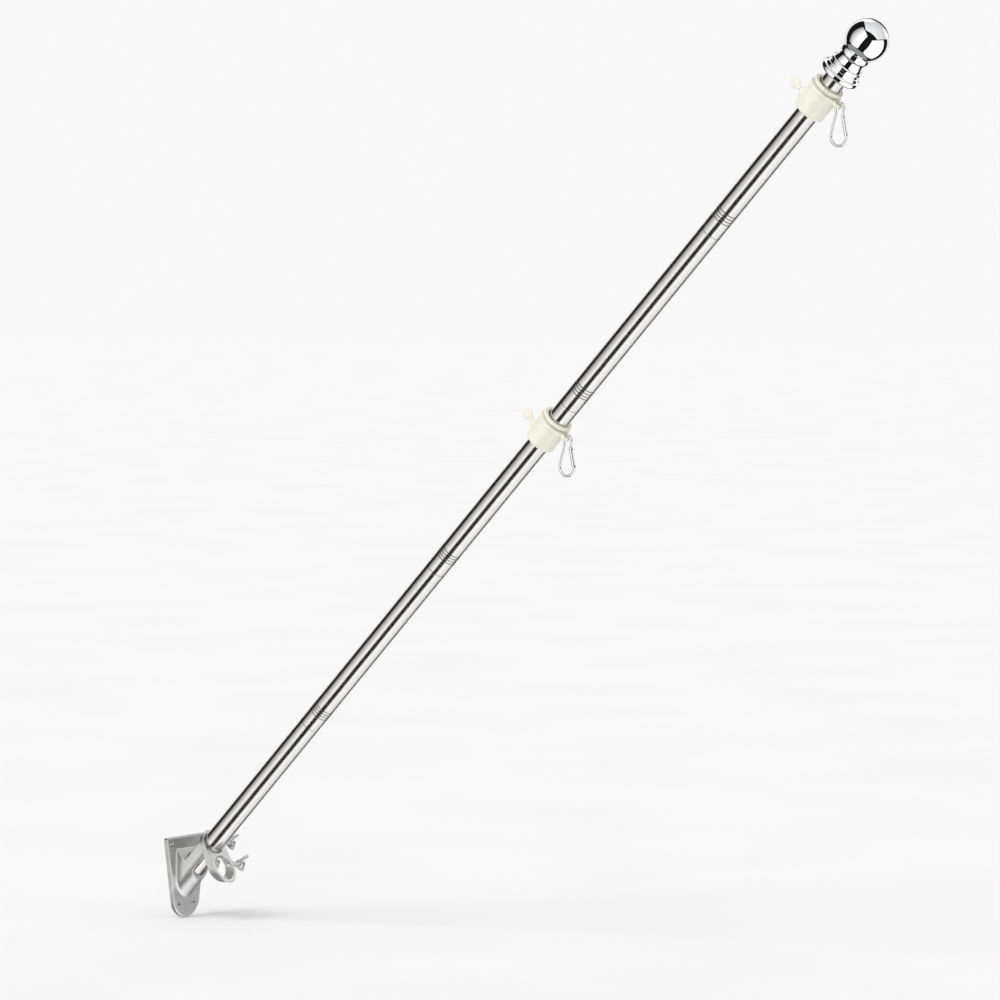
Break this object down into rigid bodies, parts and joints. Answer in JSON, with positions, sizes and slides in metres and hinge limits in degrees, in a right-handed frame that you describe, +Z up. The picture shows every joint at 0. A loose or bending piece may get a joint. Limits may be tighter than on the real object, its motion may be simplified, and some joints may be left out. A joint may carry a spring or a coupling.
{
  "type": "wall flagpole",
  "caption": "Leaning wall flagpole: sectional steel tube with ball finial, two sliding swivel collars with snap clips, in a cast two-position bracket with wing bolts.",
  "frame": {"origin": "middle of the wall plate's four screw holes, on its flat back", "axes": "+X out of the wall, +Z up, the pole leans out in the plane Y = 0, wing bolts on the +Y side"},
  "size_m": [1.002, 0.0802, 1.046],
  "materials": {
    "cast_bracket": "fine sand-textured silver coat",
    "zinc_plate": "bright zinc plate",
    "stainless_tube": "brushed stainless",
    "dark_plastic": "plain",
    "mirror_chrome": "mirror",
    "bright_wire": "bright nickel plate",
    "ivory_plastic": "milky, slightly see-through nylon"
  },
  "bodies": {
    "bracket": {"bracket_casting": "cast_bracket"},
    "wing_bolt_1": {"wing_bolt_1_screw": "zinc_plate", "wing_bolt_1_wings": "zinc_plate"},
    "wing_bolt_2": {"wing_bolt_2_screw": "zinc_plate", "wing_bolt_2_wings": "zinc_plate"},
    "wing_bolt_3": {"wing_bolt_3_screw": "zinc_plate", "wing_bolt_3_wings": "zinc_plate"},
    "pole": {"pole_section_1": "stainless_tube", "pole_section_2": "stainless_tube", "pole_section_3": "stainless_tube", "pole_section_4": "stainless_tube", "pole_section_5": "stainless_tube", "pole_spigot_1": "dark_plastic", "pole_spigot_2": "dark_plastic", "pole_spigot_3": "dark_plastic", "pole_spigot_4": "dark_plastic", "finial": "mirror_chrome"},
    "collar_1": {"collar_1_body": "ivory_plastic", "collar_1_cap": "ivory_plastic"},
    "thumb_screw_1": {"thumb_screw_1": "ivory_plastic"},
    "swivel_ring_1": {"swivel_ring_1": "ivory_plastic"},
    "clip_1": {"clip_1_frame": "bright_wire"},
    "clip_1_gate": {"clip_1_gate": "bright_wire", "clip_1_pin": "bright_wire"},
    "collar_2": {"collar_2_body": "ivory_plastic", "collar_2_cap": "ivory_plastic"},
    "thumb_screw_2": {"thumb_screw_2": "ivory_plastic"},
    "swivel_ring_2": {"swivel_ring_2": "ivory_plastic"},
    "clip_2": {"clip_2_frame": "bright_wire"},
    "clip_2_gate": {"clip_2_gate": "bright_wire", "clip_2_pin": "bright_wire"}
  },
  "joints": [
    {"name": "pole_slide", "type": "slide", "parent": "bracket", "child": "pole", "axis": [0.7071, 0, 0.7071], "range_m": [0, 0.06]},
    {"name": "wing_bolt_1_turn", "type": "hinge", "parent": "bracket", "child": "wing_bolt_1", "pos_m": [0.02051, 0.03, 0.01051], "axis": [0, 1, 0], "continuous": true},
    {"name": "wing_bolt_2_turn", "type": "hinge", "parent": "bracket", "child": "wing_bolt_2", "pos_m": [0.06141, 0.03, 0.0115], "axis": [0, 1, 0], "continuous": true},
    {"name": "wing_bolt_3_turn", "type": "hinge", "parent": "bracket", "child": "wing_bolt_3", "pos_m": [0.04596, 0.03, 0.03596], "axis": [0, 1, 0], "continuous": true},
    {"name": "collar_1_slide", "type": "slide", "parent": "pole", "child": "collar_1", "axis": [0.7071, 0, 0.7071], "range_m": [-0.25, 0.01]},
    {"name": "thumb_screw_1_turn", "type": "hinge", "parent": "collar_1", "child": "thumb_screw_1", "pos_m": [0.89449, 0, 0.92084], "axis": [-0.7071, 0, 0.7071], "continuous": true},
    {"name": "swivel_ring_1_turn", "type": "hinge", "parent": "collar_1", "child": "swivel_ring_1", "pos_m": [0.92646, 0, 0.91744], "axis": [0.7071, 0, 0.7071], "range_deg": [-150, 150]},
    {"name": "clip_1_swing", "type": "hinge", "parent": "swivel_ring_1", "child": "clip_1", "pos_m": [0.94463, 0, 0.89833], "axis": [0, -1, 0], "range_deg": [-30, 85]},
    {"name": "clip_1_gate_open", "type": "hinge", "parent": "clip_1", "child": "clip_1_gate", "pos_m": [0.94889, 0, 0.88987], "axis": [0, 1, 0], "range_deg": [0, 32], "stiffness_Nm_per_rad": 0.03, "springref_deg": -17.19},
    {"name": "collar_2_slide", "type": "slide", "parent": "pole", "child": "collar_2", "axis": [0.7071, 0, 0.7071], "range_m": [-0.6, 0.15]},
    {"name": "thumb_screw_2_turn", "type": "hinge", "parent": "collar_2", "child": "thumb_screw_2", "pos_m": [0.53387, 0, 0.56022], "axis": [-0.7071, 0, 0.7071], "continuous": true},
    {"name": "swivel_ring_2_turn", "type": "hinge", "parent": "collar_2", "child": "swivel_ring_2", "pos_m": [0.56583, 0, 0.55682], "axis": [0.7071, 0, 0.7071], "range_deg": [-150, 150]},
    {"name": "clip_2_swing", "type": "hinge", "parent": "swivel_ring_2", "child": "clip_2", "pos_m": [0.58401, 0, 0.5377], "axis": [0, -1, 0], "range_deg": [-30, 85]},
    {"name": "clip_2_gate_open", "type": "hinge", "parent": "clip_2", "child": "clip_2_gate", "pos_m": [0.58827, 0, 0.52924], "axis": [0, 1, 0], "range_deg": [0, 32], "stiffness_Nm_per_rad": 0.03, "springref_deg": -17.19}
  ]
}
